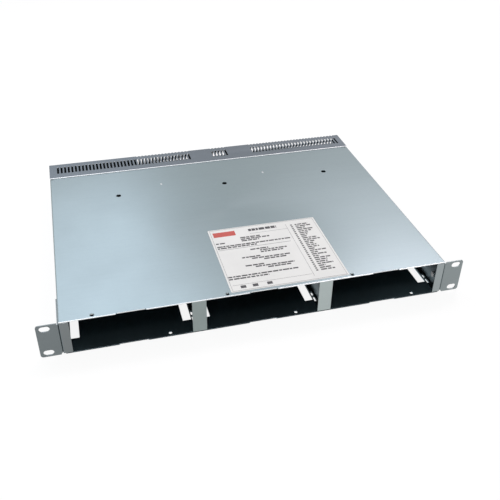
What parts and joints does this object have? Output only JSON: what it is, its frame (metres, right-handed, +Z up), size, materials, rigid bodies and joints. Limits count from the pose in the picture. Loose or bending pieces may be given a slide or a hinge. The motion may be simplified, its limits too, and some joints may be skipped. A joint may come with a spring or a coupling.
{
  "type": "rack power shelf",
  "caption": "Low rack-mount shelf of folded sheet steel with open front bays for plug-in power modules, a vented rear cover and power and signal connectors at the back.",
  "frame": {"origin": "centre of the rack hole pattern, on the front face of the two rack ears", "axes": "+X along the rack's width to the right seen from the front, +Y from the front to the back, +Z up"},
  "size_m": [0.4826, 0.3567, 0.044],
  "materials": {
    "zinc_steel": "zinc-plated sheet steel, satin",
    "rear_steel": "zinc-plated sheet steel, satin, a little darker",
    "ear_steel": "zinc-plated steel plate, satin",
    "fixings": "zinc-plated steel",
    "board": "green solder mask on glass-epoxy board",
    "brass_parts": "nickel-plated brass",
    "black_plastic": "moulded, fine satin",
    "white_plastic": "moulded, natural",
    "tinned_copper": "tin-plated copper bar, satin",
    "plated_shell": "nickel-plated steel",
    "brown_lead": "insulation",
    "blue_lead": "insulation",
    "green_lead": "insulation",
    "label": "printed film, blank here"
  },
  "bodies": {
    "root": {"backplane_board": "board", "backplane_rail": "zinc_steel", "base_tray": "zinc_steel", "board_screws": "fixings", "board_standoffs": "brass_parts", "divider_left_a": "zinc_steel", "divider_left_b": "zinc_steel", "divider_post_left": "zinc_steel", "divider_post_right": "zinc_steel", "divider_right_a": "zinc_steel", "divider_right_b": "zinc_steel", "ear_nuts": "fixings", "ear_screws": "fixings", "foot_rivets": "fixings", "inlet_housing_1": "black_plastic", "inlet_housing_2": "black_plastic", "inlet_housing_3": "black_plastic", "inlet_nuts": "fixings", "inlet_pins_1": "brass_parts", "inlet_pins_2": "brass_parts", "inlet_pins_3": "brass_parts", "inlet_screws": "fixings", "leads_earth": "green_lead", "leads_live": "brown_lead", "leads_neutral": "blue_lead", "modular_jack_1": "black_plastic", "modular_jack_2": "black_plastic", "module_connector_1": "black_plastic", "module_connector_2": "black_plastic", "module_connector_3": "black_plastic", "output_bar_negative": "tinned_copper", "output_bar_positive": "tinned_copper", "output_insulator": "black_plastic", "power_header_1": "white_plastic", "power_header_2": "white_plastic", "power_header_3": "white_plastic", "rack_ear_left": "ear_steel", "rack_ear_right": "ear_steel", "rating_label": "label", "rear_cover": "rear_steel", "rear_cover_nuts": "fixings", "rear_cover_screws": "fixings", "side_guide_left": "zinc_steel", "side_guide_right": "zinc_steel", "side_nuts": "fixings", "side_screws": "fixings", "signal_board": "board", "signal_board_pillars": "brass_parts", "signal_insert": "black_plastic", "signal_posts_hex": "plated_shell", "signal_shell": "plated_shell", "top_cover": "zinc_steel"}
  },
  "joints": []
}
